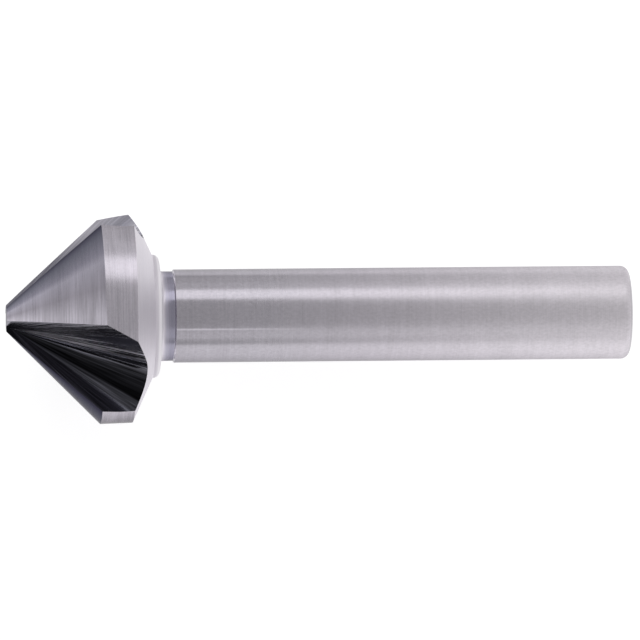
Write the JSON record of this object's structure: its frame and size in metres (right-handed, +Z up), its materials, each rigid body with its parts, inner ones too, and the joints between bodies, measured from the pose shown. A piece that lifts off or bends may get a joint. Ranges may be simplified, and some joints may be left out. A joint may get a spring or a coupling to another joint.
{
  "type": "countersink bit",
  "caption": "Conical countersink bit with a right-angle point, ground flutes, a short round land and a plain cylindrical shank, lying at rest.",
  "frame": {"origin": "centre of the underside of the bounding box, on the floor that the bit lies on", "axes": "+X from the point towards the end of the shank, +Z up; the bit's own axis lies in the XZ plane and drops 5.8 degrees towards the shank's end, as the bit lies on its head and its shank end"},
  "size_m": [0.0672, 0.023, 0.0221],
  "materials": {
    "ground_steel": "ground bright, with polished flutes"
  },
  "bodies": {
    "root": {"countersink_bit": "ground_steel"}
  },
  "joints": []
}
